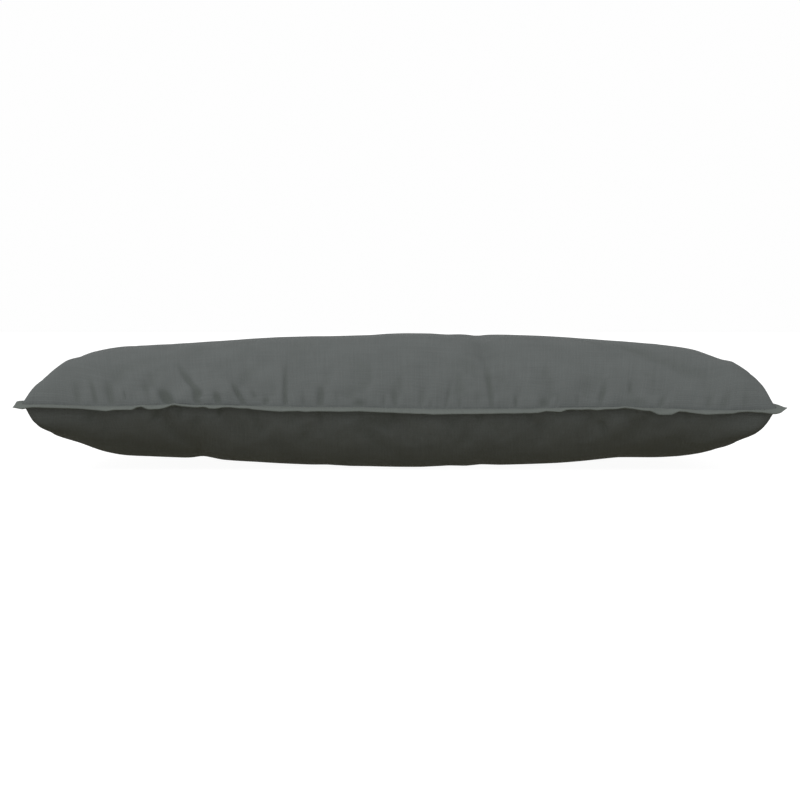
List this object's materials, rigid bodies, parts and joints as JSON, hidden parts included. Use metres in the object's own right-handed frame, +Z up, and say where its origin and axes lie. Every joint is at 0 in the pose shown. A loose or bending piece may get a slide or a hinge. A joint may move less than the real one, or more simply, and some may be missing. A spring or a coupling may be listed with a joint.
{
  "type": "back cushion",
  "caption": "Rectangular filled back cushion with a soft crown, drawn-in sides and a narrow flat seam flange all round.",
  "frame": {"origin": "centre of the bounding box's base, on the flat patch where the underside touches the surface", "axes": "+X along the width (the long side), +Y from the front long side to the back one, +Z up through the thickness"},
  "size_m": [0.6, 0.4, 0.1088],
  "materials": {
    "panel_cloth": "matt plain weave",
    "flange_cloth": "matt plain weave"
  },
  "bodies": {
    "root": {"cushion": "panel_cloth", "flange": "flange_cloth"}
  },
  "joints": []
}
